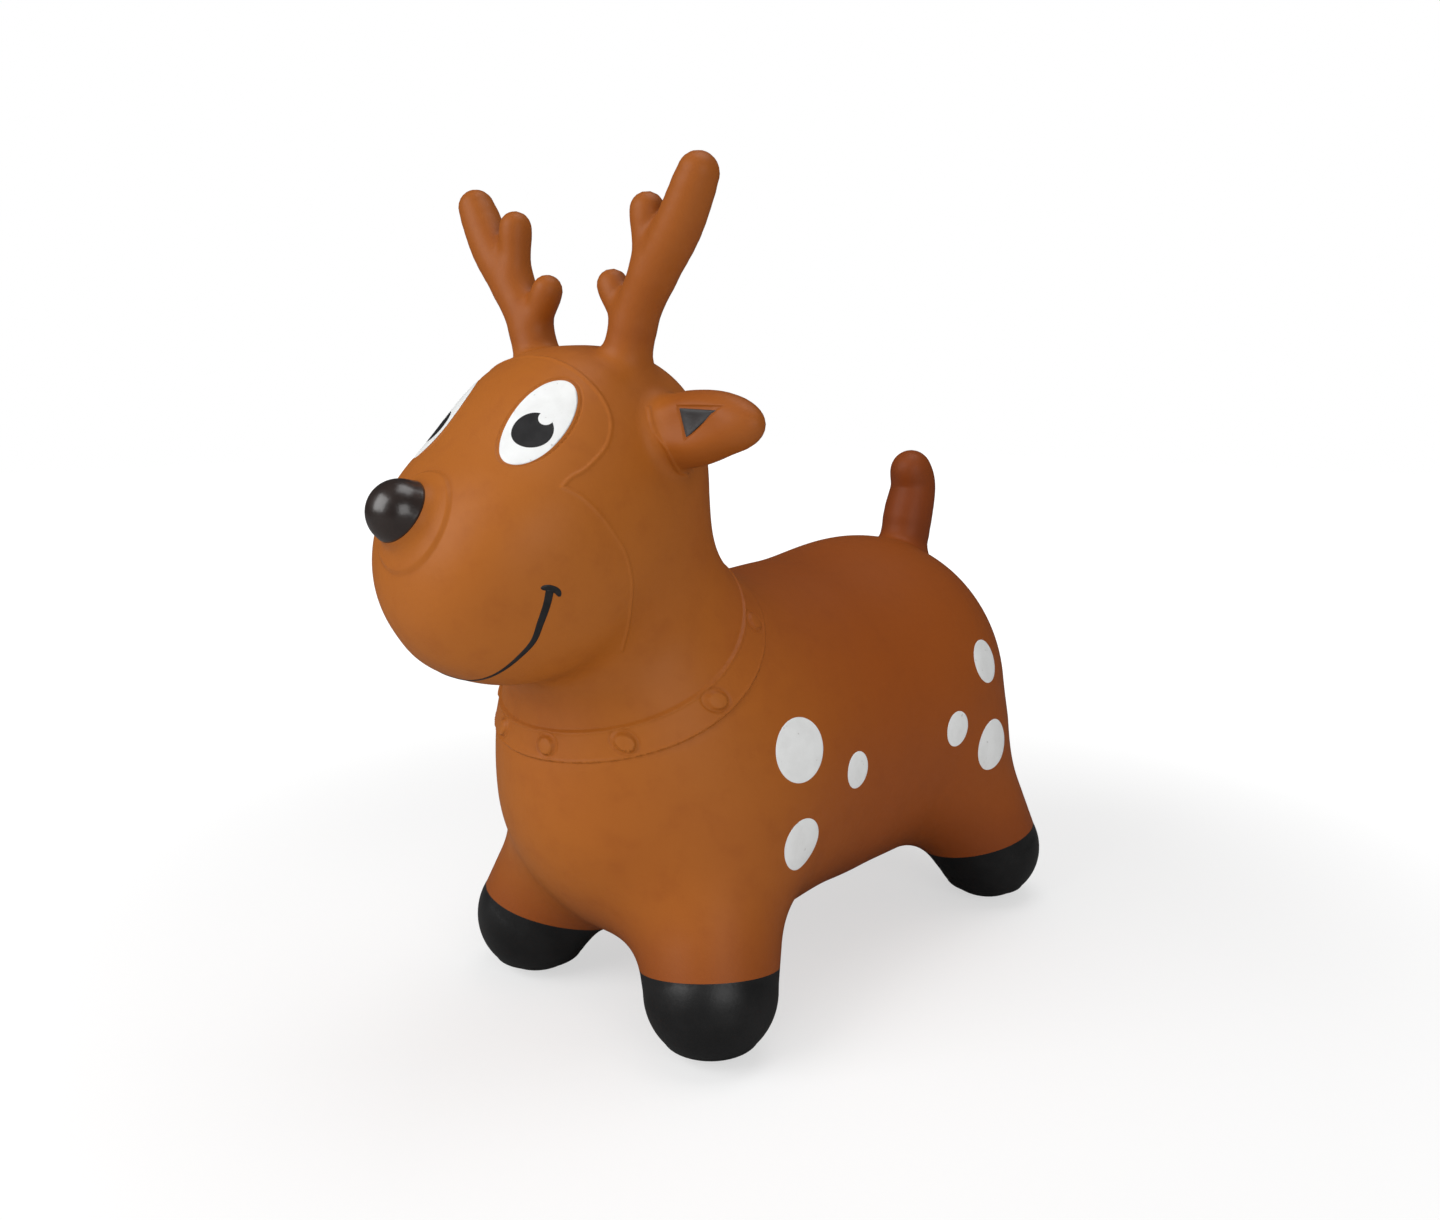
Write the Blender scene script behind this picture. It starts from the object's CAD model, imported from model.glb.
# %% [markdown]
# A blown-up deer for a small child to sit on and bounce. The real toy is one skin of soft vinyl, cast in a
# turning mould, with paint on its eyes, mouth, ears, flanks and hooves and an air valve under the belly.
# This lesson dresses the packed model: it loads the frame, works out a finer skin with numpy, lays the paint
# on it, and lights it like the photograph. The frame comes first, because every piece moves with its bodies.

import math

import bpy
import numpy as np
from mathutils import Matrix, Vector


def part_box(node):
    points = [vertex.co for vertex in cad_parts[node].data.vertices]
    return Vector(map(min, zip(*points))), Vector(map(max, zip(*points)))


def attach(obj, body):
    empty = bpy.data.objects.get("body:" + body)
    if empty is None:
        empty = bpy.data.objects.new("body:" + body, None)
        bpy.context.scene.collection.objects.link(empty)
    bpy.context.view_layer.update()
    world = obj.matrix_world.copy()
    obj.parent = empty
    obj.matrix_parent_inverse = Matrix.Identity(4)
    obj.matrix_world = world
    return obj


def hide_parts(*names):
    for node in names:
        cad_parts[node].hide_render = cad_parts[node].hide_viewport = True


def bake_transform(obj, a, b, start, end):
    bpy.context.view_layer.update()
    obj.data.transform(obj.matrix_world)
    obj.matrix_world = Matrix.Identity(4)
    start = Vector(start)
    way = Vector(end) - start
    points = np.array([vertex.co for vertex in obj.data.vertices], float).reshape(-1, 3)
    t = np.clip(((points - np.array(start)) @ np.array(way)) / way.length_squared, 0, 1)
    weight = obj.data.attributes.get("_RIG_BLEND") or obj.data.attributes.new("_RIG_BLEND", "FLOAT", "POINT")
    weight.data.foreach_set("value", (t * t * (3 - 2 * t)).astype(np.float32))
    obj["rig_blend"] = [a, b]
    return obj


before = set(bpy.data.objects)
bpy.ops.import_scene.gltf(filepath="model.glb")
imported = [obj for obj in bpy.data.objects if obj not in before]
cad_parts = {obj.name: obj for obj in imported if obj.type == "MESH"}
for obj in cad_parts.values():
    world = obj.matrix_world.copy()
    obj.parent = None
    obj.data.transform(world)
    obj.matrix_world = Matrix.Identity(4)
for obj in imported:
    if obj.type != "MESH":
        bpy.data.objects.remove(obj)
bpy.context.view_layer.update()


def mm(metres):
    """Lengths in millimetres, to a tenth."""
    return (1000 * np.array(metres, float)).round(1).tolist()


# %% [markdown]
# The skin branches into legs, ears, antlers and a tail, so no single grid of two parameters covers it. It
# could be a voxel remesh of joined balls, but that loses the exact roundings. Here the skin is a field: a
# function that is below zero inside the toy and above zero outside, close to the distance in metres. Each
# form is one short formula, and a smooth minimum joins two forms with a fillet of a chosen width.

# %% Forms of the field
def smooth_join(first, second, width):
    """The smaller of two fields, less a quarter of the width times the squared share of their overlap."""
    share = np.maximum(width - np.abs(first - second), 0) / width
    return np.minimum(first, second) - share * share * width / 4


def smooth_carve(solid, cutter, width):
    """The larger of a field and the negative of a cutter, rounded over a width."""
    return -smooth_join(-solid, cutter, width)


def tipped(points, degrees):
    """Points turned about the X axis."""
    turn = math.radians(degrees)
    y = math.cos(turn) * points[:, 1] - math.sin(turn) * points[:, 2]
    z = math.sin(turn) * points[:, 1] + math.cos(turn) * points[:, 2]
    return np.stack([points[:, 0], y, z], axis=1)


SWELL_END = 1.3
TINY = 1e-6


def egg(points, centre, radii, tip=0.0, swell=0.0, square=2.0):
    """An ellipsoid: the length of the point over the radii, less one, times that length over its gradient.

    tip turns it about X, swell makes its height grow along its own Y up to the swell's end, and a square
    above two boxes its section: X and Z add up as powers of that number."""
    local = tipped(points - np.array(centre), -tip)
    along = np.clip(local[:, 1] / radii[1], -SWELL_END, SWELL_END)
    height = radii[2] * (1 + swell * along)
    sizes = np.stack([np.full(len(local), radii[0]), np.full(len(local), radii[1]), height], axis=1)
    shares = np.abs(local / sizes)
    section = (shares[:, 0] ** square + shares[:, 2] ** square) ** (1 / square)
    length = np.hypot(section, shares[:, 1])
    slope = np.linalg.norm(shares / sizes, axis=1)
    return length * (length - 1) / np.maximum(slope, TINY)


def rod(points, start, end, first_radius, last_radius):
    """A rounded cone: the distance to the nearest point of a line, less a radius that changes along it."""
    start, end = np.array(start), np.array(end)
    reach = end - start
    share = np.clip((points - start) @ reach / (reach @ reach), 0, 1)
    radius = first_radius + (last_radius - first_radius) * share
    return np.linalg.norm(points - start - share[:, None] * reach, axis=1) - radius


def chain(points, stations, width):
    """Rounded cones through stations of place and radius, joined smoothly."""
    field = None
    for (start, first), (end, last) in zip(stations, stations[1:]):
        link = rod(points, start, end, first, last)
        field = link if field is None else smooth_join(field, link, width)
    return field


print("an egg of 10 cm, 1 cm outside its side:", egg(np.array([[0.11, 0, 0]]), (0, 0, 0), (0.1, 0.1, 0.1)))

# %% [markdown]
# The body is a long egg with a fuller rump and chest. The neck leans forward into a round skull, and the
# muzzle is a larger egg that droops. Four stubby legs splay outward and end in round hooves that a plane
# cuts flat on the floor. The left and right sides are alike, so the legs, ears and antlers use |x|.

# %% Body, neck, head and legs
# An egg is its centre and half sizes, a cone its two ends and radii. All are in metres.
TORSO = dict(centre=(0, 0.0543, 0.1745), radii=(0.1220, 0.2446, 0.1335), swell=0.07)
RUMP = dict(centre=(0, 0.1723, 0.1860), radii=(0.1150, 0.1065, 0.1250))
CHEST = dict(centre=(0, -0.0711, 0.1707), radii=(0.1141, 0.1176, 0.1273))
SKULL = dict(centre=(0, -0.1510, 0.3900), radii=(0.0790, 0.0890, 0.0815), square=2.5)
MUZZLE = dict(centre=(0, -0.1945, 0.3500), radii=(0.0856, 0.1050, 0.0806), tip=33, square=2.5)
NECK = ((0, -0.0981, 0.2350), (0, -0.1389, 0.3580), 0.0939, 0.0650)
HOOF = {"front": (0.0925, -0.1245, 0.0435), "rear": (0.0945, 0.2315, 0.0435)}
HIP = {"front": (0.0536, -0.0885, 0.1255), "rear": (0.0643, 0.1905, 0.1325)}
HIP_RADIUS, HOOF_RADIUS = 0.0595, 0.0460
NOSE_CENTRE = np.array([0, -0.2882, 0.3738])
NOSE_RADIUS, NOSE_DISC = 0.0195, 0.0325
NOSE_LIFT = math.radians(33)
NOSE_AXIS = np.array([0, -math.cos(NOSE_LIFT), math.sin(NOSE_LIFT)])
BLEND = {
    "body": 0.052, "head": 0.020, "neck": 0.032, "chin": 0.0255, "leg": 0.0295, "nose": 0.011, "sole": 0.003
}
DISC_SLOPE = (NOSE_DISC - 0.0022, NOSE_DISC + 0.0008)
DISC_EDGE, DISC_DOME = 0.0014, 0.0026
# A form is worked out only between the low and high corner of its box.
NECK_BOX = ((-1, -0.26, 0.10), (1, 0.09, 0.50))
HEAD_BOX = ((-1, -1, 0.21), (1, 0.03, 0.53))
LEG_BOX = ((-1, -1, -1), (1, 1, 0.235))
NOSE_BACK = -0.05


def within_box(form, points, low, high):
    """A form's field inside a box, and one metre outside, where the form is too far off to matter."""
    field = np.ones(len(points))
    inside = ((points > low) & (points < high)).all(axis=1)
    field[inside] = form(points[inside])
    return field


def one_side(points):
    """The same points with X made positive."""
    return np.abs(points * (1, 0, 0)) + points * (0, 1, 1)


def step(value, low, high):
    """0 below low, 1 above high, and three times the square less twice the cube between."""
    share = np.clip((value - low) / (high - low), 0, 1)
    return share * share * (3 - 2 * share)


def nose_distance(points):
    """How far a point is from the nose's axis, or one metre if it is well behind the nose."""
    local = points - NOSE_CENTRE
    ahead = local @ NOSE_AXIS
    across = np.linalg.norm(local - ahead[:, None] * NOSE_AXIS, axis=1)
    return np.where(ahead > NOSE_BACK, across, 1.0)


def nose_disc(points):
    """The height of the round swelling under the nose: a step at its edge and a dome in its middle."""
    away = nose_distance(points)
    dome = np.clip(1 - (away / NOSE_DISC) ** 2, 0, 1)
    return DISC_EDGE * (1 - step(away, *DISC_SLOPE)) + DISC_DOME * dome


def body_field(points):
    """Torso, rump and chest."""
    field = smooth_join(egg(points, **TORSO), egg(points, **RUMP), BLEND["body"])
    return smooth_join(field, egg(points, **CHEST), BLEND["body"])


def head_field(points):
    """Skull, muzzle and nose."""
    head = smooth_join(egg(points, **SKULL), egg(points, **MUZZLE), BLEND["head"]) - nose_disc(points)
    nose = np.linalg.norm(points - NOSE_CENTRE, axis=1) - NOSE_RADIUS
    return smooth_join(head, nose, BLEND["nose"])


def leg_field(points):
    """A cone from each hip to the hoof, which is a ball."""
    legs = [rod(points, HIP[end], HOOF[end], HIP_RADIUS, HOOF_RADIUS) for end in ("front", "rear")]
    return np.minimum(*legs)


def trunk_field(points):
    """Everything but antlers, ears and tail, cut flat by the floor."""
    neck = within_box(lambda near: rod(near, *NECK), points, *NECK_BOX)
    field = smooth_join(body_field(points), neck, BLEND["neck"])
    head = within_box(head_field, points, *HEAD_BOX)
    field = smooth_join(field, head, BLEND["chin"])
    legs = within_box(leg_field, one_side(points), *LEG_BOX)
    return smooth_carve(smooth_join(field, legs, BLEND["leg"]), points[:, 2], BLEND["sole"])


print("trunk field at the belly, mm:", mm(trunk_field(np.array([[0, 0.06, 0.046]]))))

# %% [markdown]
# The antlers are the handles: a beam that curves outward and two tines on its inner side. Ears are paddles
# with a shallow dish in front, and the tail is a finger that leans back. All of them are moulded in one with
# the skin, so a small fillet joins them to it.

# %% Antlers, ears and tail
# Stations across (x or y), up (z) and radius; an antler lies in the plane Y = ANTLER_Y, the tail in X = 0.
ANTLER_Y = -0.1485
BEAM = (
    (0.0440, 0.4400, 0.0175), (0.0437, 0.4614, 0.0155), (0.0533, 0.4891, 0.0139),
    (0.0685, 0.5120, 0.0140), (0.0895, 0.5376, 0.0140), (0.1060, 0.5660, 0.0125),
)
UPPER_TINE = ((0.0675, 0.5120, 0.0120), (0.0650, 0.5320, 0.0098), (0.0638, 0.5496, 0.0108))
LOWER_TINE = ((0.0510, 0.4820, 0.0112), (0.0405, 0.4943, 0.0095), (0.0319, 0.5075, 0.0100))
TAIL = (
    (0.2231, 0.2750, 0.0190), (0.2330, 0.3269, 0.0213), (0.2411, 0.3550, 0.0192), (0.2366, 0.3705, 0.0180)
)
PADDLE = dict(centre=(0.1045, -0.1400, 0.4236), radii=(0.0441, 0.0180, 0.0200))
EAR_ROOT = dict(centre=(0.0700, -0.1400, 0.4137), radii=(0.0385, 0.0190, 0.0180))
DISH = dict(centre=(0.1090, -0.1680, 0.4250), radii=(0.0300, 0.0120, 0.0140))
ROOT_FILLET = {"antler": 0.008, "ear": 0.010, "tail": 0.015}
TUBE_FILLET, TINE_FILLET, EAR_FILLET, DISH_FILLET = 0.002, 0.006, 0.020, 0.008
ANTLER_BOX = ((-1, -0.21, 0.405), (1, -0.09, 1))
EAR_BOX = ((0.02, -0.20, 0.355), (1, -0.08, 0.49))
TAIL_BOX = ((-0.06, 0.16, 0.22), (0.06, 1, 1))


def curve_through(stations, count):
    """Points of a smooth curve: a cubic between each two stations, with slopes from their neighbours."""
    stations = np.array(stations)
    padded = np.vstack([2 * stations[0] - stations[1], stations, 2 * stations[-1] - stations[-2]])
    place = np.linspace(0, len(stations) - 1 - 1e-9, count)
    first = place.astype(int)
    t = (place - first)[:, None]
    a, b, c, d = (padded[first + k] for k in range(4))
    return 0.5 * (2 * b + (c - a) * t + (2 * a - 5 * b + 4 * c - d) * t**2 + (3 * b - a - 3 * c + d) * t**3)


def smooth_tube(stations):
    """Stations with three more worked out between each two, so that a chain of cones looks curved."""
    return curve_through(stations, 4 * len(stations) - 3)


def antler_field(half):
    """Beam and tines, each a chain of cones in the antler's plane."""
    field = None
    for stations in (BEAM, UPPER_TINE, LOWER_TINE):
        places = [((x, ANTLER_Y, z), radius) for x, z, radius in smooth_tube(stations)]
        limb = chain(half, places, TUBE_FILLET)
        field = limb if field is None else smooth_join(field, limb, TINE_FILLET)
    return field


def ear_field(half):
    """A paddle on a thicker root, less a shallow dish in its front."""
    field = smooth_join(egg(half, **PADDLE), egg(half, **EAR_ROOT), EAR_FILLET)
    return smooth_carve(field, egg(half, **DISH), DISH_FILLET)


def tail_field(points):
    """A chain of cones in the middle plane."""
    return chain(points, [((0, y, z), radius) for y, z, radius in smooth_tube(TAIL)], TUBE_FILLET)


def limb_fields(points):
    """Antlers, ears and tail, each worked out only in the box where it lies."""
    half = one_side(points)
    return {
        "antler": within_box(antler_field, half, *ANTLER_BOX),
        "ear": within_box(ear_field, half, *EAR_BOX),
        "tail": within_box(tail_field, points, *TAIL_BOX),
    }


def plain_field(points):
    """The whole toy without its moulded lines."""
    field = trunk_field(points)
    for name, limb in limb_fields(points).items():
        field = smooth_join(field, limb, ROOT_FILLET[name])
    return field


print("field at an antler tip, mm:", mm(plain_field(np.array([[0.1045, -0.1485, 0.5803]]))))

# %% [markdown]
# A point near the skin is brought onto it in a few steps, each against the gradient and as long as the
# field's value there. The gradient, made one long, is also the exact normal, which shades better than
# normals averaged from triangles.

# %% Onto the skin
SLOPE_STEP = 0.0003
LEAST_SLOPE = 1e-4


def normals_of(field, points):
    """Differences of the field to both sides along X, Y and Z, made one long."""
    sides = [field(points + SLOPE_STEP * axis) - field(points - SLOPE_STEP * axis) for axis in np.eye(3)]
    slopes = np.stack(sides, axis=1) / (2 * SLOPE_STEP)
    return slopes / np.maximum(np.linalg.norm(slopes, axis=1, keepdims=True), TINY)


def onto(field, points, rounds=4):
    """Each round takes the field's value over the squared gradient, times the gradient, from the points."""
    for _ in range(rounds):
        value = field(points)
        slopes = [(field(points + SLOPE_STEP * axis) - value) / SLOPE_STEP for axis in np.eye(3)]
        slopes = np.stack(slopes, axis=1)
        points = points - slopes * (value / np.maximum((slopes * slopes).sum(1), LEAST_SLOPE))[:, None]
    return points


seat = onto(plain_field, np.array([[0.0, 0.06, 0.30]]))
print("a point of the seat, mm:", mm(seat), "faces", normals_of(plain_field, seat).round(3))

# %% [markdown]
# The mould left fine lines on the skin: a ridge round each side of the face, a disc under the nose, a groove
# round each eye, a collar with nine round buttons, a dent in each ear, a fold below it and the edge of each
# sole. They are heights that are taken from the field, so the surface rises by what the formula gives. The
# ridges come first: their places are points on the skin, and a smooth curve runs through them.

# %% Ridges
# The points of three lines: from the brow round the eye, on round the muzzle, and a fold below the ear.
LINES = (
    (
        (0, -0.1885, 0.4640), (0.0257, -0.1900, 0.4609), (0.0459, -0.1889, 0.4528), (0.0606, -0.1863, 0.4405),
        (0.0679, -0.1857, 0.4298), (0.0719, -0.1884, 0.4202), (0.0743, -0.1954, 0.4098),
        (0.0746, -0.2102, 0.3989), (0.0733, -0.2206, 0.3942), (0.0733, -0.2277, 0.3892),
    ),
    (
        (0.0733, -0.2277, 0.3892), (0.0790, -0.2182, 0.3832), (0.0835, -0.2084, 0.3724),
        (0.0854, -0.1987, 0.3598), (0.0856, -0.1911, 0.3486), (0.0850, -0.1863, 0.3360),
        (0.0836, -0.1839, 0.3264), (0.0799, -0.1820, 0.3134), (0.0725, -0.1780, 0.2978),
        (0.0645, -0.1754, 0.2835),
    ),
    (
        (0.0745, -0.1594, 0.4326), (0.0805, -0.1619, 0.4209), (0.0854, -0.1610, 0.4138),
        (0.0894, -0.1591, 0.4079), (0.0888, -0.1534, 0.4004), (0.0841, -0.1436, 0.3942),
        (0.0779, -0.1292, 0.3907),
    ),
)
RIDGE_HEIGHT, RIDGE_WIDTH = 0.0009, 0.0011
RUN_STEPS, RUN_MARGIN = 6, 0.006
RIDGES = [onto(plain_field, curve_through(line, 8 * len(line))) for line in LINES]


def bell(distance, width):
    """A rounded hump: e to the power of minus the squared distance over the width."""
    return np.exp(-((distance / width) ** 2))


def ridge_distance(half):
    """The least distance to the ridges, or one metre where none of them is near.

    A ridge is taken in runs of a few steps, and a run is worked out only in the box round it, for speed."""
    least = np.full(len(half), 1.0)
    for curve in RIDGES:
        for start in range(0, len(curve) - 1, RUN_STEPS):
            run = curve[start : start + RUN_STEPS + 1]
            near = ((half > run.min(0) - RUN_MARGIN) & (half < run.max(0) + RUN_MARGIN)).all(axis=1)
            close = half[near]
            for first, last in zip(run, run[1:]):
                least[near] = np.minimum(least[near], rod(close, first, last, 0.0, 0.0))
    return least


print("points on each ridge:", [len(curve) for curve in RIDGES])

# %% [markdown]
# The collar is a low band with a lip on each edge and nine round buttons. On the toy it is part of the mould,
# so here it is part of the relief too, and not a ring that is pushed over the neck. Every height depends on
# where a point lies over the band's lower edge, and on how far it is from the nearest button.

# %% Collar
COLLAR_TILT = math.radians(39.5)
COLLAR_FOOT = np.array([0, -0.1169, 0.2308])
COLLAR_UP = np.array([0, -math.sin(COLLAR_TILT), math.cos(COLLAR_TILT)])
COLLAR_BACK = np.array([0, math.cos(COLLAR_TILT), math.sin(COLLAR_TILT)])
COLLAR_SAG, COLLAR_CREST = 1.87, 0.054
COLLAR_WIDTH, COLLAR_HEIGHT = 0.0225, 0.0013
LOWER_SLOPE, UPPER_SLOPE = (0.0004, 0.0020), (COLLAR_WIDTH - 0.0016, COLLAR_WIDTH)
LIPS, LIP_HEIGHT, LIP_WIDTH = (0.0024, COLLAR_WIDTH - 0.0020), 0.0005, 0.0009
COLLAR_FADE = (0.105, 0.122)
BUTTON_PITCH, FIRST_BUTTON, BUTTON_MIDDLE = math.radians(40), math.radians(13), 0.0120
BUTTON_HEIGHT, BUTTON_SLOPE = 0.0019, (0.0050, 0.0068)
BUTTON_DOME, DOME_RADIUS = 0.0006, 0.0062
MOAT_DEPTH, MOAT_RADIUS, MOAT_WIDTH = 0.0006, 0.0080, 0.0009


def collar_place(points):
    """Height over the collar's lower edge, distance from its axis, and angle round it from the front.

    The edge isn't flat: it drops by the sag times the squared distance to its crest, so it lies more level
    in front than behind."""
    local = points - COLLAR_FOOT
    back = local @ COLLAR_BACK
    height = local @ COLLAR_UP - COLLAR_SAG * (back - COLLAR_CREST) ** 2
    return height, np.hypot(local[:, 0], back), np.arctan2(local[:, 0], -back)


def button_distance(points):
    """The distance from the middle of the nearest button; there is one at every pitch round the collar."""
    height, reach, angle = collar_place(points)
    turn = np.mod(angle - FIRST_BUTTON + BUTTON_PITCH / 2, BUTTON_PITCH) - BUTTON_PITCH / 2
    return np.hypot(height - BUTTON_MIDDLE, reach * turn)


def collar_height(points):
    """Band, lips and buttons together, each button in a moat. All of it fades out on the back."""
    height, reach, _ = collar_place(points)
    band = step(height, *LOWER_SLOPE) * (1 - step(height, *UPPER_SLOPE))
    lips = sum(bell(height - lip, LIP_WIDTH) for lip in LIPS)
    away = button_distance(points)
    button = BUTTON_HEIGHT * (1 - step(away, *BUTTON_SLOPE))
    button += BUTTON_DOME * np.clip(1 - (away / DOME_RADIUS) ** 2, 0, 1)
    moat = MOAT_DEPTH * bell(away - MOAT_RADIUS, MOAT_WIDTH)
    fade = 1 - step(reach, *COLLAR_FADE)
    return fade * (COLLAR_HEIGHT * band + LIP_HEIGHT * lips + button - moat * band)


print("the collar's front stands out by mm:", mm(collar_height(np.array([[0.0, -0.2, 0.217]]))))

# %% [markdown]
# What is left is pressed in: a groove round each eye, where the paint ends, and a dent in the ear that holds
# its patch. The sole of a hoof has a bead round its edge and is tucked in under it. The eye is an oval that
# leans, and the patch is a triangle; both are drawn here once and used again for the paint.

# %% Grooves, dents and soles
EYE_CENTRE = np.array([0.0463, -0.2217, 0.4264])
EYE_NORMAL = np.array([0.491, -0.618, 0.614])
EYE_HALF, EYE_TURN = (0.0192, 0.0340), math.radians(-25.5)
RIGHT_EYE_INSET = 0.008
EYE_REACH, NO_EYE = 0.05, 9.0
GROOVE_DEPTH, GROOVE_SHARE, GROOVE_WIDTH = 0.0007, 1.03, 0.028
EAR_PATCH = np.array([[0.0956, 0.4332], [0.1251, 0.4334], [0.1027, 0.4158]])
EAR_FRONT, EAR_FOOT = (0.146, 0.150), (0.39, 0.40)
DENT_DEPTH, DENT_SLOPE = 0.0011, (-0.0018, -0.0003)
SOLE_HEIGHT, SOLE_EDGE, SOLE_BEAD, SOLE_TUCK = 0.0006, (0.0075, 0.0105), 0.0011, 1.2
BELOW_BELLY = 0.05


def directions(normal):
    """Across a surface, level with the floor, and up it."""
    normal = np.array(normal, float) / np.linalg.norm(normal)
    across = np.cross((0, 0, 1), normal)
    across = across / np.linalg.norm(across)
    return across, np.cross(normal, across)


def eye_share(points):
    """1 on an eye's outline, less inside it and more outside, as a share of its half sizes."""
    across, along = directions(EYE_NORMAL)
    local = one_side(points) - EYE_CENTRE + (points[:, :1] < 0) * RIGHT_EYE_INSET * across
    x, y = local @ across, local @ along
    x, y = (x * math.cos(EYE_TURN) + y * math.sin(EYE_TURN), y * math.cos(EYE_TURN) - x * math.sin(EYE_TURN))
    share = np.hypot(x / EYE_HALF[0], y / EYE_HALF[1])
    return np.where(np.linalg.norm(local, axis=1) < EYE_REACH, share, NO_EYE)


def inside_patch(half):
    """How far inside the ear's painted triangle a point lies, seen from the front."""
    flat = half[:, [0, 2]]
    depth = np.full(len(half), 1.0)
    middle = EAR_PATCH.mean(0)
    for start, end in zip(EAR_PATCH, np.roll(EAR_PATCH, -1, axis=0)):
        across = np.array([end[1] - start[1], start[0] - end[0]])
        across = across / np.linalg.norm(across)
        across = across * np.sign((middle - start) @ across)
        depth = np.minimum(depth, (flat - start) @ across)
    return depth


def relief(points):
    """All heights together, in metres."""
    half = one_side(points)
    height = RIDGE_HEIGHT * bell(ridge_distance(half), RIDGE_WIDTH) + collar_height(points)
    height -= GROOVE_DEPTH * bell(eye_share(points) - GROOVE_SHARE, GROOVE_WIDTH)
    front = step(-half[:, 1], *EAR_FRONT) * step(half[:, 2], *EAR_FOOT)
    height -= DENT_DEPTH * front * step(inside_patch(half), *DENT_SLOPE)
    sole = bell(half[:, 2] - SOLE_EDGE[1], SOLE_BEAD) - SOLE_TUCK * (1 - step(half[:, 2], *SOLE_EDGE))
    return height + SOLE_HEIGHT * sole * (half[:, 2] < BELOW_BELLY)


def skin_field(points):
    """The whole toy with its moulded lines."""
    return plain_field(points) - relief(points)


print("relief beside and on a ridge, mm:", mm(relief(RIDGES[0][:1] + [[0, 0.004, 0], [0, 0, 0]])))

# %% [markdown]
# The surface itself comes from surface nets: space is divided into cubes of 3.3 mm, each cube that the skin
# passes through gets one vertex at the mean of the crossings on its edges, and each crossed edge becomes a
# face between the four cubes round it. To save time the field is worked out only near the skin, which a
# coarse grid finds first.

# %% Surface nets
CELL = 0.0033
LOW = np.array([-0.1600, -0.3150, -0.0100])
HIGH = np.array([0.1600, 0.3150, 0.5900])


def lattice(cell):
    """The places of the cubes' corners along X, Y and Z."""
    counts = np.ceil((HIGH - LOW) / cell).astype(int) + 1
    return [LOW[axis] + cell * np.arange(counts[axis]) for axis in range(3)]


def field_on_lattice(field, cell, coarse=4, safe=2.2):
    """Values at the corners of all cubes: exact near the skin, and only a sign away from it.

    Near means within a safe number of coarse cells."""
    wide = lattice(cell * coarse)
    places = np.stack(np.meshgrid(*wide, indexing="ij"), -1)
    rough = field(places.reshape(-1, 3)).reshape(places.shape[:3])
    nearest = []
    for fine_line, wide_line in zip(lattice(cell), wide):
        number = (np.arange(len(fine_line)) + coarse // 2) // coarse
        nearest.append(np.minimum(number, len(wide_line) - 1))
    values = rough[np.ix_(*nearest)]
    where = np.argwhere(np.abs(values) < safe * cell * coarse)
    values[tuple(where.T)] = field(LOW + cell * where)
    return values


def nets(values, cell):
    """Vertices and quads of the zero surface of a lattice of values, with outward faces."""
    size = np.array(values.shape)
    total = np.zeros((*(size - 1), 3))
    count = np.zeros(size - 1)
    quads = []
    for axis in range(3):
        first = np.take(values, np.arange(size[axis] - 1), axis)
        second = np.take(values, np.arange(1, size[axis]), axis)
        crossed = (first < 0) != (second < 0)
        where = np.argwhere(crossed)
        place = where.astype(float)
        place[:, axis] += first[crossed] / (first[crossed] - second[crossed])
        b, c = [other for other in range(3) if other != axis]
        corners = []
        for shift_b, shift_c in ((-1, -1), (0, -1), (0, 0), (-1, 0)):
            cube = where.copy()
            cube[:, b] += shift_b
            cube[:, c] += shift_c
            np.add.at(total, tuple(cube.T), place)
            np.add.at(count, tuple(cube.T), 1)
            corners.append(np.ravel_multi_index(tuple(cube.T), size - 1))
        faces = np.stack(corners, axis=1)
        outward = (first[crossed] < 0) != (axis == 1)
        quads.append(np.where(outward[:, None], faces, faces[:, ::-1]))
    used = np.flatnonzero(count)
    number = np.full(count.size, -1)
    number[used] = np.arange(len(used))
    points = LOW + cell * total.reshape(-1, 3)[used] / count.ravel()[used][:, None]
    return points, number[np.concatenate(quads)]


def split_quads(points, quads):
    """Two triangles from each quad, along its shorter diagonal."""
    a, b, c, d = quads.T
    short = np.linalg.norm(points[a] - points[c], axis=1) < np.linalg.norm(points[b] - points[d], axis=1)
    one = np.where(short[:, None], np.stack([a, b, c], 1), np.stack([a, b, d], 1))
    two = np.where(short[:, None], np.stack([a, c, d], 1), np.stack([b, c, d], 1))
    return np.concatenate([one, two])


points, quads = nets(field_on_lattice(plain_field, CELL), CELL)
points = onto(plain_field, points, rounds=3)
faces = split_quads(points, quads)
print("skin:", len(points), "vertices,", len(faces), "triangles")

# %% [markdown]
# Cubes of 3.3 mm are too coarse for a ridge 1 mm wide. Smaller cubes everywhere would be wasteful, so only
# the triangles near a moulded line are divided, twice: one with three marked corners becomes four, and one
# with two becomes two, so no gap opens between fine and coarse.

# %% Finer triangles near the moulded lines
def once_each(edges, count):
    """The two ends of every different edge, and which of these each of the given edges is."""
    keys = np.sort(edges, axis=1) @ np.array([count, 1])
    unique, which = np.unique(keys, return_inverse=True)
    return unique // count, unique % count, which


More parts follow.
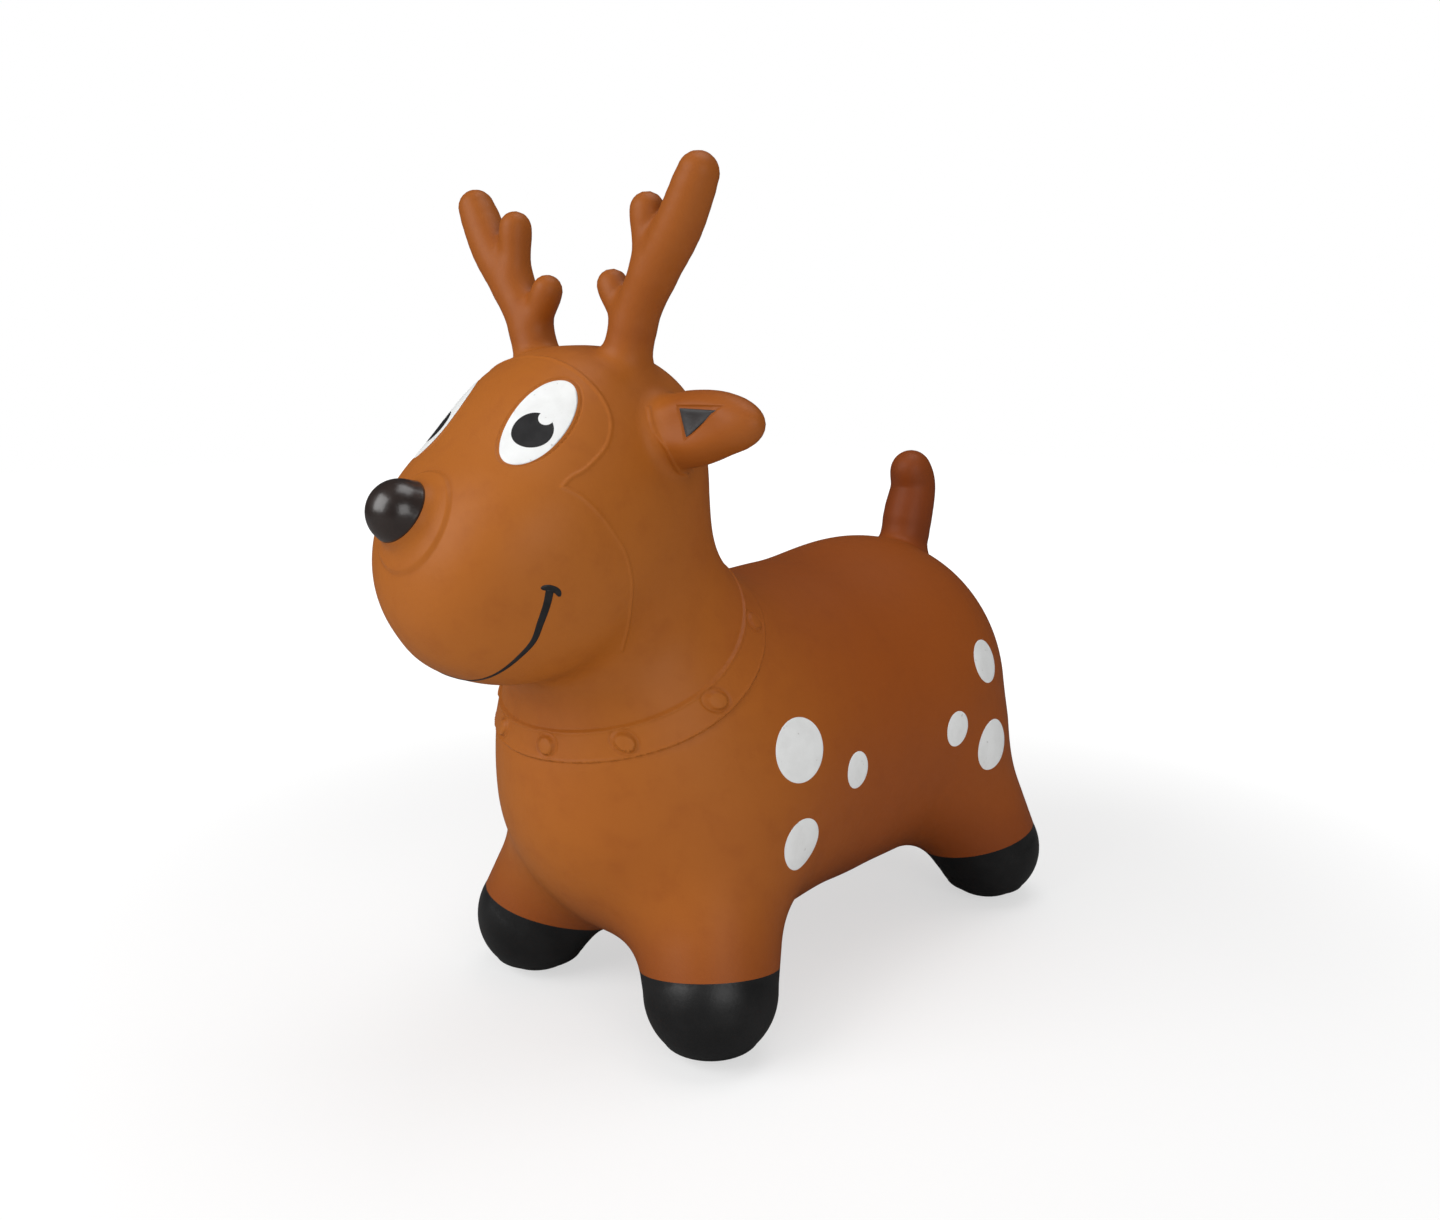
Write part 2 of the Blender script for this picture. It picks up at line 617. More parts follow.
def refine(points, faces, near):
    """Puts a point on each edge whose two ends are marked and divides the triangles there."""
    marks = near[faces]
    count = marks.sum(1)
    full, half, rest = faces[count == 3], faces[count == 2], faces[count < 2]
    turn = (np.argmin(near[half], axis=1)[:, None] + np.array([1, 2, 0])) % 3
    half = np.take_along_axis(half, turn, axis=1)
    edges = np.concatenate([full[:, [0, 1]], full[:, [1, 2]], full[:, [2, 0]], half[:, [0, 1]]])
    first, second, which = once_each(edges, len(points))
    middle = (points[first] + points[second]) / 2
    ab, bc, ca, pq = np.split(which + len(points), [len(full), 2 * len(full), 3 * len(full)])
    a, b, c = full.T
    p, q, r = half.T
    new = [(a, ab, ca), (ab, b, bc), (ca, bc, c), (ab, bc, ca), (p, pq, r), (pq, q, r)]
    return np.vstack([points, middle]), np.concatenate([rest] + [np.stack(corners, 1) for corners in new])


LIP_MIDDLE, LIP_HALF = 0.0015, 0.0015
MOAT_END, COLLAR_NEAR = 0.0085, 0.03
SOLE_MIDDLE, SOLE_HALF, SOLE_NEAR = 0.0095, 0.003, 0.02
NOSE_FOOT = 0.002
REACHES = (0.0058, 0.0036)


def near_lines(points, reach):
    """Marks what lies within a reach of a ridge, a collar's lip, a button, an ear patch, a sole or an eye."""
    half = one_side(points)
    height, out, _ = collar_place(points)
    lips = np.minimum(np.abs(height - LIP_MIDDLE), np.abs(height - COLLAR_WIDTH + LIP_MIDDLE))
    marked = lips < LIP_HALF + reach
    marked |= (button_distance(points) < MOAT_END + reach) & (np.abs(height) < COLLAR_NEAR)
    marked &= out < COLLAR_FADE[1]
    marked |= (np.abs(half[:, 2] - SOLE_MIDDLE) < SOLE_HALF + reach) & (half[:, 2] < SOLE_NEAR)
    marked |= (np.abs(inside_patch(half)) < reach) & (half[:, 1] < -EAR_FRONT[0]) & (half[:, 2] > EAR_FOOT[1])
    marked |= ridge_distance(half) < reach
    marked |= np.abs(nose_distance(points) - NOSE_DISC) < reach
    marked |= np.abs(nose_distance(points) - NOSE_RADIUS) < NOSE_FOOT + reach
    marked |= np.abs(eye_share(points) - GROOVE_SHARE) < reach / EYE_HALF[0]
    return marked


for reach in REACHES:
    points, faces = refine(points, faces, near_lines(points, reach))
    points = onto(skin_field, points, rounds=2)
print("refined skin:", len(points), "vertices,", len(faces), "triangles")

# %% [markdown]
# Each part that moves needs a piece of its own, and so does each colour of the skin. The mesh is cut along
# exact curves first, so neighbours share their edge points: the collar's edge bounds the neck, balls bound
# the legs, planes bound the hooves' paint, and an antler, an ear or the tail begins where its own field drops
# below that of the rest.

# %% Cut the mesh where the pieces meet
CUT_MARGIN = 0.02


def cut(points, faces, value):
    """Divides each triangle that a zero of the value crosses, at the crossings of its two edges.

    A crossing keeps a small share of the edge between itself and either end."""
    sign = value > 0
    count = sign[faces].sum(1)
    crossed = (count == 1) | (count == 2)
    mixed = faces[crossed]
    lone = np.where(count[crossed][:, None] == 1, sign[mixed], ~sign[mixed])
    turn = (np.argmax(lone, axis=1)[:, None] + np.arange(3)) % 3
    mixed = np.take_along_axis(mixed, turn, axis=1)
    edges = np.concatenate([mixed[:, [0, 1]], mixed[:, [0, 2]]])
    first, second, which = once_each(edges, len(points))
    share = np.clip(value[first] / (value[first] - value[second]), CUT_MARGIN, 1 - CUT_MARGIN)[:, None]
    new_points = points[first] * (1 - share) + points[second] * share
    ab, ac = np.split(which + len(points), 2)
    a, b, c = mixed.T
    new = [np.stack(corners, 1) for corners in ((a, ab, ac), (ab, b, c), (ab, c, ac))]
    return np.vstack([points, new_points]), np.concatenate([faces[~crossed]] + new)


NECK_DEPTH = 0.050
NECK_LEAN = math.radians(33)
LEG_REACH = 0.082
SIDES = (("left", 1), ("right", -1))
LEGS = {end + "_" + side: np.array(HOOF[end]) * (x, 1, 1) for end in HOOF for side, x in SIDES}
PAINT_HEIGHT, RISE_OUTWARD, RISE_ENDWARD = 0.0145, 0.20, 0.18
BETWEEN_LEGS = 0.05
print("hooves at mm", {name: mm(hoof) for name, hoof in LEGS.items()})


def hoof_edge(points, hoof):
    """Height over the plane where the hoof paint ends, which rises outward and to the toy's front or rear."""
    outward, endward = RISE_OUTWARD * np.sign(hoof[0]), RISE_ENDWARD * np.sign(hoof[1] - BETWEEN_LEGS)
    local = points - hoof
    return local[:, 2] - PAINT_HEIGHT - outward * local[:, 0] - endward * local[:, 1]


def limb_values(points):
    """For antlers, ears and tail: the limb's own field less the field of the rest, below zero on the limb."""
    trunk = trunk_field(points)
    return {name: limb - trunk for name, limb in limb_fields(points).items()}


for kind in ("antler", "ear", "tail"):
    points, faces = cut(points, faces, limb_values(points)[kind])
for hoof in LEGS.values():
    points, faces = cut(points, faces, np.linalg.norm(points - hoof, axis=1) - LEG_REACH)
    below = np.where(np.linalg.norm(points - hoof, axis=1) < LEG_REACH, hoof_edge(points, hoof), 1.0)
    points, faces = cut(points, faces, below)
for plane in (0.0, NECK_DEPTH):
    points, faces = cut(points, faces, collar_place(points)[0] - plane)
points = onto(skin_field, points, rounds=1)
normals = normals_of(skin_field, points)
print("cut skin:", len(points), "vertices,", len(faces), "triangles")

# %% [markdown]
# After the cuts every triangle lies wholly in one region, so the middle of a triangle tells which one it is.
# The regions are the pieces of the packed model that show: the body, the neck, the head, and what grows out.

# %% Name the region of every triangle
centres = points[faces].mean(1)
region = np.full(len(faces), "torso_shell", dtype=object)
height, out, _ = collar_place(centres)
region[(height > 0) & (height <= NECK_DEPTH)] = "neck_shell"
region[height > NECK_DEPTH] = "head_shell"
for name, hoof in LEGS.items():
    inside = np.linalg.norm(centres - hoof, axis=1) < LEG_REACH
    below = hoof_edge(centres, hoof) < 0
    region[inside & ~below] = "leg_" + name
    region[inside & below] = "hoof_" + name
values = limb_values(centres)
for side, x in SIDES:
    region[(values["antler"] < 0) & (x * centres[:, 0] > 0)] = "antler_" + side
    region[(values["ear"] < 0) & (x * centres[:, 0] > 0)] = "ear_" + side
region[values["tail"] < 0] = "tail"
for name in sorted(set(region)):
    print(f"{name:20s}", int((region == name).sum()), "triangles")

# %% [markdown]
# A piece has a wall, like the real skin: the same triangles again, 2.2 mm further in and turned round, with
# a rim that joins the two along every open edge. So each piece is closed. Two attributes go with it: where
# each point is at rest, so a pattern stays in place when the piece bends, and how hollow the skin is there,
# which the finish uses for dust and wear.

# %% Closed pieces
WALL = 0.0022


def open_edges(faces):
    """The directed edges that no neighbour runs back along."""
    edges = np.concatenate([faces[:, [0, 1]], faces[:, [1, 2]], faces[:, [2, 0]]])
    size = faces.max() + 1
    keys, back = edges @ np.array([size, 1]), edges @ np.array([1, size])
    return edges[~np.isin(keys, back)]


def closed_shell(outer, inner, faces):
    """Outer sheet, inner sheet turned round, and two rim triangles on each open edge."""
    count = len(outer)
    a, b = open_edges(faces).T
    rim = np.concatenate([np.stack([b, a, a + count], 1), np.stack([b, a + count, b + count], 1)])
    return np.vstack([outer, inner]), np.concatenate([faces, faces[:, ::-1] + count, rim])


def volume(points, faces):
    """A sixth of the sum of each triangle's triple product, above zero when faces point outward."""
    a, b, c = points[faces].transpose(1, 0, 2)
    return float(np.einsum("ij,ij->", a, np.cross(b, c)) / 6)


def hollowness(points, reach=0.006):
    """The mean field at a reach all round, over that reach: below zero in a hollow, above it on a bulge."""
    total = np.zeros(len(points))
    for axis in np.eye(3):
        total += plain_field(points + reach * axis) + plain_field(points - reach * axis)
    return total / 6 / reach


def make_piece(name, points, faces, point_normals=None, hollow=None):
    """A mesh object at the origin from arrays of points and triangles."""
    if volume(points, faces) < 0:
        faces = faces[:, ::-1]
    mesh = bpy.data.meshes.new(name)
    mesh.vertices.add(len(points))
    mesh.vertices.foreach_set("co", points.astype(np.float32).ravel())
    mesh.loops.add(3 * len(faces))
    mesh.loops.foreach_set("vertex_index", faces.astype(np.int32).ravel())
    mesh.polygons.add(len(faces))
    mesh.polygons.foreach_set("loop_start", np.arange(0, 3 * len(faces), 3, dtype=np.int32))
    mesh.update(calc_edges=True)
    mesh.shade_smooth()
    if point_normals is not None:
        mesh.normals_split_custom_set_from_vertices(point_normals.tolist())
    rest = mesh.attributes.new("rest_place", "FLOAT_VECTOR", "POINT")
    rest.data.foreach_set("vector", points.astype(np.float32).ravel())
    level = np.zeros(len(points)) if hollow is None else hollow
    dust = mesh.attributes.new("hollow", "FLOAT", "POINT")
    dust.data.foreach_set("value", level.astype(np.float32))
    piece = bpy.data.objects.new(name, mesh)
    bpy.context.collection.objects.link(piece)
    return piece


hollow = hollowness(points)
print("hollowness from", round(float(hollow.min()), 3), "to", round(float(hollow.max()), 3))

# %% [markdown]
# Each region becomes one such piece. Its edge points are kept by name, because they tell where a bend begins.

# %% Make the skin's pieces
skin, rims = {}, {}
for name in sorted(set(region)):
    chosen = faces[region == name]
    used, local = np.unique(chosen, return_inverse=True)
    local = local.reshape(-1, 3)
    outer, facing = points[used], normals[used]
    shell, shell_faces = closed_shell(outer, outer - WALL * facing, local)
    skin[name] = make_piece(
        "skin_" + name, shell, shell_faces, np.vstack([facing, -facing]), np.tile(hollow[used], 2)
    )
    rims[name] = outer[np.unique(open_edges(local))]
print(len(skin), "pieces of skin, wall", 1000 * WALL, "mm")

# %% [markdown]
# Now the pieces are told what they move with. The head nods on the soft neck, so the neck bends between the
# body and the head. Antlers, ears and tail bend in the first 12 to 14 mm from where they leave the skin. A
# hoof flattens under a rider's weight: its rim stays with the leg and its sole moves up.

# %% Let the pieces follow the joints
MARGIN = 0.0005
ROOT_BEND = {"antler": 0.014, "ear": 0.012, "tail": 0.014, "hoof": 0.040}


def bend(name, parent, child, direction):
    """The bend begins just past the furthest point of the piece's edge and ends one length further."""
    direction = np.array(direction, float) / np.linalg.norm(direction)
    start = direction * ((rims[name] @ direction).max() + MARGIN)
    end = start + direction * ROOT_BEND[name.split("_")[0]]
    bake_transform(skin[name], parent, child, start=tuple(start), end=tuple(end))


for name in ("torso_shell", *("leg_" + leg for leg in LEGS)):
    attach(skin[name], "body")
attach(skin["head_shell"], "head")
neck_rim = rims["neck_shell"]
rim_height = collar_place(neck_rim)[0]
neck_up = np.array([0, -math.sin(NECK_LEAN), math.cos(NECK_LEAN)])
neck_start = (neck_rim[rim_height < NECK_DEPTH / 2] @ neck_up).max() + MARGIN
neck_end = (neck_rim[rim_height > NECK_DEPTH / 2] @ neck_up).min() - MARGIN
print("the neck bends over", mm(neck_end - neck_start), "mm")
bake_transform(skin["neck_shell"], "body", "head", start=tuple(neck_start * neck_up), end=tuple(neck_end * neck_up))
for side, x in SIDES:
    bend("antler_" + side, "head", "antler_" + side, (0.3 * x, 0, 1))
    bend("ear_" + side, "head", "ear_" + side, (x, 0, 0))
bend("tail", "body", "tail", (0, 0, 1))
for leg in LEGS:
    bend("hoof_" + leg, "body", "hoof_" + leg, (0, 0, -1))
for name, piece in skin.items():
    roots = [name.replace("_", "_root_", 1)] if name.startswith(("antler", "ear")) else []
    roots += ["tail_root"] if name == "tail" else []
    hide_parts(name, *roots)

# %% [markdown]
# Paint is a film about a third of a millimetre thick. It could be drawn in the skin's material, but a film of
# its own has a crisp edge and can be taken off. A patch is a grid of rings round a centre: each ring is the
# outline, scaled by a share, and every point is brought onto the skin. The film thins out at its edge.

# %% Films of paint
RING_SHARES = np.array([0.18, 0.36, 0.54, 0.70, 0.82, 0.91, 0.96, 0.985, 1.0])
FILM, SUNK = 0.00035, 0.0004
EDGE_THINNING, EDGE_POWER = 0.85, 6
UPRIGHT = np.array([0, 0, 1.0])


def oval(half_across, half_along, turn=0.0, count=96):
    """Points of an oval, turned about its centre."""
    angle = np.linspace(0, 2 * math.pi, count, endpoint=False)
    x, y = half_across * np.cos(angle), half_along * np.sin(angle)
    return np.stack([x * math.cos(turn) - y * math.sin(turn), x * math.sin(turn) + y * math.cos(turn)], 1)


def ring_faces(rings, count):
    """Triangles of a disc: a fan round its centre, and two for each cell between rings."""
    spoke = np.arange(count)
    after = (spoke + 1) % count
    fan = np.stack([np.zeros(count, int), 1 + spoke, 1 + after], 1)
    cells = []
    for ring in range(rings - 1):
        low, high = 1 + ring * count, 1 + (ring + 1) * count
        cells.append(np.stack([low + spoke, high + spoke, high + after], 1))
        cells.append(np.stack([low + spoke, high + after, low + after], 1))
    return np.concatenate([fan, *cells])


def lay_film(name, flat, faces, edge_share, body, slot, node=None, under=0.0, thick=FILM):
    """Two sheets: one on top, which is thick in the middle and thin at its edge, and one sunk in the skin.

    Under is the thickness of the paint that it lies on."""
    ground = onto(skin_field, flat, rounds=6)
    up = normals_of(skin_field, ground)
    level = under + thick * (1 - EDGE_THINNING * edge_share**EDGE_POWER)
    film, film_faces = closed_shell(ground + level[:, None] * up, ground - SUNK * up, faces)
    piece = make_piece(name, film, film_faces)
    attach(piece, body)
    if node:
        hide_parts(node)
    return piece


def patch(name, centre, across, along, outline, body, slot, node=None, **layer):
    """A film inside an outline that is drawn on two directions through a centre."""
    middle = outline.mean(0)
    rings = middle + RING_SHARES[:, None, None] * (outline - middle)
    flat = np.vstack([middle, rings.reshape(-1, 2)])
    places = centre + flat[:, :1] * across + flat[:, 1:] * along
    edge = np.concatenate([[0.0], np.repeat(RING_SHARES, len(outline))])
    return lay_film(name, places, ring_faces(len(RING_SHARES), len(outline)), edge, body, slot, node, **layer)


print("a film is", 1000 * FILM, "mm thick and has", len(RING_SHARES), "rings")

# %% [markdown]
# An eye is three films, one on another: a leaning white oval, a dark pupil low in it, and a small glint. A
# printed eye would need a picture, so they are laid one by one, and each rises above the one below. The
# right eye lies a little nearer the middle of the face than a mirrored left eye.

# %% Eyes
PUPIL_HALF, PUPIL_PLACE, PUPIL_FILM = (0.0127, 0.0125), (-0.0030, -0.0074), 0.00010
GLINT_HALF, GLINT_PLACE, GLINT_FILM = (0.0047, 0.0050), (0.0043, 0.0012), 0.00006
eye_across, eye_along = directions(EYE_NORMAL)
eye_layers = (
    ("eye_white_", oval(*EYE_HALF, EYE_TURN), "white_paint", 0.0, FILM),
    ("pupil_", oval(*PUPIL_HALF) + PUPIL_PLACE, "dark_paint", FILM, PUPIL_FILM),
    ("glint_", oval(*GLINT_HALF, count=48) + GLINT_PLACE, "white_paint", FILM + PUPIL_FILM, GLINT_FILM),
)
films = {}
for side, x, inset in (("left", 1, 0.0), ("right", -1, RIGHT_EYE_INSET)):
    mirror = np.array([x, 1, 1])
    place = ((EYE_CENTRE - inset * eye_across) * mirror, eye_across * mirror, eye_along * mirror)
    for name, outline, slot, under, thick in eye_layers:
        node = None if name == "glint_" else name + side
        films[name + side] = patch(name + side, *place, outline, "head", slot, node, under=under, thick=thick)

# %% [markdown]
# Six round spots mark each flank, three at the shoulder and three at the hip. A spot is drawn flat, seen from
# the side, and brought onto the skin, so it stays round in that view while it follows the body.

# %% Flank spots
# Place along and up, and radius.
SPOTS = (
    (-0.065, 0.205, 0.0225), (-0.004, 0.1765, 0.0130), (-0.065, 0.1386, 0.0185),
    (0.178, 0.225, 0.0190), (0.127, 0.179, 0.0137), (0.178, 0.155, 0.0200),
)
FLANK_X = 0.118
for side, x in SIDES:
    for number, (y, z, radius) in enumerate(SPOTS, start=1):
        name = f"spot_{side}_{number}"
        place = (np.array([FLANK_X * x, y, z]), np.array([0, x, 0]), UPRIGHT)
        films[name] = patch(name, *place, oval(radius, radius), "body", "white_paint", name)
print(len(SPOTS), "spots on each flank")

# %% [markdown]
# The inside of each ear is painted dark in a triangle with slightly rounded corners. It is the same triangle
# that the dent follows, so the paint covers the floor of the dent.

# %% Ear patches
PATCH_CORNER, PATCH_Y = 0.0012, -0.157


def rounded(corners, radius, count=32):
    """A polygon with its corners rounded: each corner is drawn as a curve between two points on its sides."""
    pieces = []
    for before, corner, after in zip(np.roll(corners, 1, 0), corners, np.roll(corners, -1, 0)):
        start = corner + radius * (before - corner) / np.linalg.norm(before - corner)
        end = corner + radius * (after - corner) / np.linalg.norm(after - corner)
        t = np.linspace(0, 1, count)[:, None]
        pieces.append((1 - t) ** 2 * start + 2 * t * (1 - t) * corner + t**2 * end)
    return np.vstack(pieces)


outline = rounded(EAR_PATCH, PATCH_CORNER)
middle = outline.mean(0)
for side, x in SIDES:
    name = "ear_patch_" + side
    place = (np.array([middle[0] * x, PATCH_Y, middle[1]]), np.array([x, 0, 0]), UPRIGHT)
    films[name] = patch(name, *place, outline - middle, "ear_" + side, "dark_paint", name)
print("an ear patch spans mm", mm(np.ptp(outline, axis=0)))

# %% [markdown]
# The smile is a brush stroke: a ribbon along a curve on the muzzle, thin under the chin and wider towards
# its ends, each of which has a short bar across it. A ribbon is a grid of places along the curve and across
# it. The across direction is the curve's direction crossed with the skin's normal.

# %% Mouth
def stroke(path, half_width, columns=7):
    """Grid of points beside a path, triangles between them, and each point's share of the way to the edge."""
    path = onto(skin_field, path, rounds=4)
    along = np.gradient(path, axis=0)
    side = np.cross(along, normals_of(skin_field, path))
    side = side / np.linalg.norm(side, axis=1, keepdims=True)
    across = np.linspace(-1, 1, columns)
    grid = path[:, None] + across[None, :, None] * half_width[:, None, None] * side[:, None]
    row, column = np.meshgrid(np.arange(len(path) - 1), np.arange(columns - 1), indexing="ij")
    corner = (row * columns + column).ravel()
    one = np.stack([corner, corner + 1, corner + columns + 1], 1)
    two = np.stack([corner, corner + columns + 1, corner + columns], 1)
    return grid.reshape(-1, 3), np.concatenate([one, two]), np.tile(np.abs(across), len(path))


SMILE = np.array([
    (0, -0.2562, 0.2680), (0.0190, -0.2555, 0.2711), (0.0385, -0.2532, 0.2777), (0.0536, -0.2490, 0.2885),
    (0.0636, -0.2444, 0.2997), (0.0691, -0.2430, 0.3112), (0.0732, -0.2413, 0.3222), (0.0755, -0.2405, 0.3312)
])
BAR = np.array([
    (0.0737, -0.2457, 0.3328), (0.0755, -0.2410, 0.3324), (0.0768, -0.2366, 0.3303), (0.0769, -0.2342, 0.3268)
])
SMILE_POINTS, BAR_POINTS = 200, 40
THIN_HALF, WIDE_HALF, BAR_HALF, BAR_TIP = 0.0004, 0.0021, 0.0019, 0.02
path = curve_through(np.vstack([SMILE[:0:-1] * (-1, 1, 1), SMILE]), SMILE_POINTS)
share = np.abs(np.linspace(-1, 1, len(path)))
parts = [stroke(path, THIN_HALF + WIDE_HALF * np.sqrt(share) * step(share, -0.2, 0.8))]
for x in (1, -1):
    bar = curve_through(BAR * (x, 1, 1), BAR_POINTS)
    end = np.linspace(-1, 1, len(bar))
    parts.append(stroke(bar, BAR_HALF * np.sqrt(np.maximum(1 - end**4, BAR_TIP))))
offsets = np.cumsum([0] + [len(grid) for grid, _, _ in parts])[:-1]
flat = np.vstack([grid for grid, _, _ in parts])
mouth_faces = np.vstack([faces_part + offset for (_, faces_part, _), offset in zip(parts, offsets)])
edge_share = np.concatenate([edge for _, _, edge in parts])
films["mouth"] = lay_film("mouth", flat, mouth_faces, edge_share, "head", "dark_paint", "mouth")
print("mouth:", len(mouth_faces), "triangles on each side of the film")

# %% [markdown]
# The nose is painted on a ball. Its film is a grid of angles: how far from the nose's axis, and how far round
# it. It ends a quarter turn from the axis, where the ball sinks into the muzzle.

# %% Nose
NOSE_SPOKES, NOSE_RINGS = 96, 22
polar = np.radians(np.linspace(0, 90, NOSE_RINGS + 1)[1:])
round_angle = np.linspace(0, 2 * math.pi, NOSE_SPOKES, endpoint=False)
nose_up = np.cross((1, 0, 0), NOSE_AXIS)
ring = np.cos(round_angle)[:, None] * np.array([1.0, 0, 0]) + np.sin(round_angle)[:, None] * nose_up
aim = np.cos(polar)[:, None, None] * NOSE_AXIS + np.sin(polar)[:, None, None] * ring
cap = NOSE_CENTRE + NOSE_RADIUS * np.vstack([NOSE_AXIS, aim.reshape(-1, 3)])
edge = np.concatenate([[0.0], np.repeat(polar / polar[-1], NOSE_SPOKES)])
cap_faces = ring_faces(NOSE_RINGS, NOSE_SPOKES)
films["nose"] = lay_film("nose_cap", cap, cap_faces, edge, "head", "nose_paint", "nose")
print("nose:", len(cap_faces), "triangles on each side of the film")

# %% [markdown]
# The air valve sits under the belly: a flanged seat welded into the skin, and a plug with a flat head that is
# pushed into it and pulls out along its axis. Both are round, so each is turned: a profile of radius and
# height, with its corners rounded, is carried once round an axis.

# %% Valve
def turned_piece(name, profile, centre, count=64):
    """A closed solid: each point of the profile becomes a ring, or one point where its radius is zero."""
    angle = np.linspace(0, 2 * math.pi, count, endpoint=False)
    radius, level = profile.T
    rings = np.stack([np.outer(radius, np.cos(angle)), np.outer(radius, np.sin(angle))], -1)
    rings = np.concatenate([rings, np.tile(level[:, None, None], (1, count, 1))], -1)
    index = np.arange(len(profile) * count).reshape(len(profile), count)
    index[radius == 0] = index[radius == 0][:, :1]
    closed = radius[0] > 0
    nexts = np.roll(index, -1, 0) if closed else index[1:]
    index = index if closed else index[:-1]
    a, b = index, np.roll(index, -1, 1)
    c, d = np.roll(nexts, -1, 1), nexts
    cells = np.concatenate([np.stack([a, b, c], -1).reshape(-1, 3), np.stack([a, c, d], -1).reshape(-1, 3)])
    cells = cells[(cells[:, 0] != cells[:, 1]) & (cells[:, 1] != cells[:, 2]) & (cells[:, 0] != cells[:, 2])]
    used, local = np.unique(cells, return_inverse=True)
    return make_piece(name, rings.reshape(-1, 3)[used] + centre, local.reshape(-1, 3))


VALVE_Y, SEAT_LIFT = 0.06, 0.0018
SEAT = np.array([
    (0.0035, -0.0018), (0.0115, -0.0018), (0.0115, -0.0003),
    (0.0080, -0.0003), (0.0080, 0.0140), (0.0035, 0.0140),
])
SEAT_CORNER, SEAT_ARC = 0.0004, 5
HEAD_RADIUS, STEM_RADIUS = 0.0075, 0.0032
HEAD_TOP = -0.0021
HEAD_FACE, STEM_END = HEAD_TOP - 0.0020, HEAD_TOP + 0.0110
PLUG = np.array([
    (0.0, HEAD_FACE), (HEAD_RADIUS, HEAD_FACE), (HEAD_RADIUS, HEAD_TOP),
    (STEM_RADIUS, HEAD_TOP), (STEM_RADIUS, STEM_END), (0.0, STEM_END),
])
PLUG_CORNER, PLUG_ARC = 0.0005, 6
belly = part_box("valve_seat")
under = np.array([0.0, VALVE_Y, belly[0][2] + SEAT_LIFT])
valve_seat = turned_piece("valve_seat_turned", rounded(SEAT, SEAT_CORNER, SEAT_ARC), under)
rounded_plug = rounded(PLUG, PLUG_CORNER, PLUG_ARC)[PLUG_ARC:-PLUG_ARC]
valve_plug = turned_piece("valve_plug_turned", np.vstack([PLUG[:1], rounded_plug, PLUG[-1:]]), under)
for piece, body, node in ((valve_seat, "body", "valve_seat"), (valve_plug, "valve_plug", "valve_plug")):
    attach(piece, body)
    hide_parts(node)
print("valve at", mm(under), "mm")

# %% [markdown]
# Materials are node trees. Writing them as sums keeps them readable, so one small class stands for a value
# on its way through the tree and turns +, * and 1 - value into Math nodes. A second class holds a material
# and adds any other node, with one method.

# %% Values that can be summed, and finishes
class Flow:
    """A socket of a material. Sums with numbers or other flows add Math nodes."""

    def __init__(self, finish, socket):
        self.finish, self.socket = finish, socket

    def maths(self, operation, first, second):
        """One Math node on two values."""
        return self.finish.node("ShaderNodeMath", {"operation": operation}, {0: first, 1: second})

    def __add__(self, other):
        return self.maths("ADD", self, other)

    def __mul__(self, other):
        return self.maths("MULTIPLY", self, other)

    def __rsub__(self, other):
        return self.maths("SUBTRACT", other, self)

    __radd__ = __add__
    __rmul__ = __mul__

    def within(self, low, high):
        """0 at low, 1 at high, and clamped beyond."""
        sockets = {0: self, 1: low, 2: high, 3: 0.0, 4: 1.0}
        return self.finish.node("ShaderNodeMapRange", {"interpolation_type": "SMOOTHSTEP"}, sockets)


class Finish:
    """One material with its Principled shader. Constants go on the shader's own sockets."""

    def __init__(self, name, **constants):
        self.material = bpy.data.materials.new(name)
        self.material.use_nodes = True
        self.tree = self.material.node_tree
        self.shader = self.tree.nodes["Principled BSDF"]
        for key, value in constants.items():
            self.shader.inputs[key.replace("_", " ")].default_value = value

    def node(self, kind, settings=None, sockets=None, output=0):
        """Adds a node: settings first, then values or links for its sockets."""
        made = self.tree.nodes.new(kind)
        for key, value in (settings or {}).items():
            setattr(made, key, value)
        for key, value in (sockets or {}).items():
            if isinstance(value, Flow):
                self.tree.links.new(value.socket, made.inputs[key])
            else:
                made.inputs[key].default_value = value
        return Flow(self, made.outputs[output])

    def place(self):
        """Where the point is at rest, in metres."""
        return self.node("ShaderNodeAttribute", {"attribute_name": "rest_place"}, output="Vector")

    def hollow(self):
        """How hollow the skin is at the point."""
        return self.node("ShaderNodeAttribute", {"attribute_name": "hollow"}, output="Fac")

    def along(self, axis):
        """Where the point is at rest along X, Y or Z, in metres."""
        return self.node("ShaderNodeSeparateXYZ", None, {0: self.place()}, output=axis)

    def noise(self, scale, detail=3.0, roughness=0.55):
        """A soft noise between 0 and 1 that stays where it is when the piece bends."""
        sockets = {"Vector": self.place(), "Scale": scale, "Detail": detail, "Roughness": roughness}
        return self.node("ShaderNodeTexNoise", None, sockets)

    def mix(self, share, first, second):
        """A colour between two, by a share."""
        return self.node("ShaderNodeMix", {"data_type": "RGBA"}, {0: share, 6: first, 7: second}, output=2)

    def feed(self, socket, flow):
        """Links a value to a socket of the shader."""
        self.tree.links.new(flow.socket, self.shader.inputs[socket])

    def bump(self, height, distance):
        """Makes a height tilt the normal."""
        self.feed("Normal", self.node("ShaderNodeBump", None, {"Height": height, "Distance": distance}))


def colour(red, green, blue):
    """A colour in linear light, opaque."""
    return (red, green, blue, 1.0)


print("a finish can:", [name for name in vars(Finish) if not name.startswith("_")])

# %% [markdown]
# The skin is soft PVC coloured through: a warm brown with cloudy patches where the paste ran thicker, a
# satin surface with the fine orange-peel of the mould, dust in its hollows, and a paler rub on what sticks
# out. The brown is a little deeper to the rear and on the legs, the tail, the ears and the antlers.

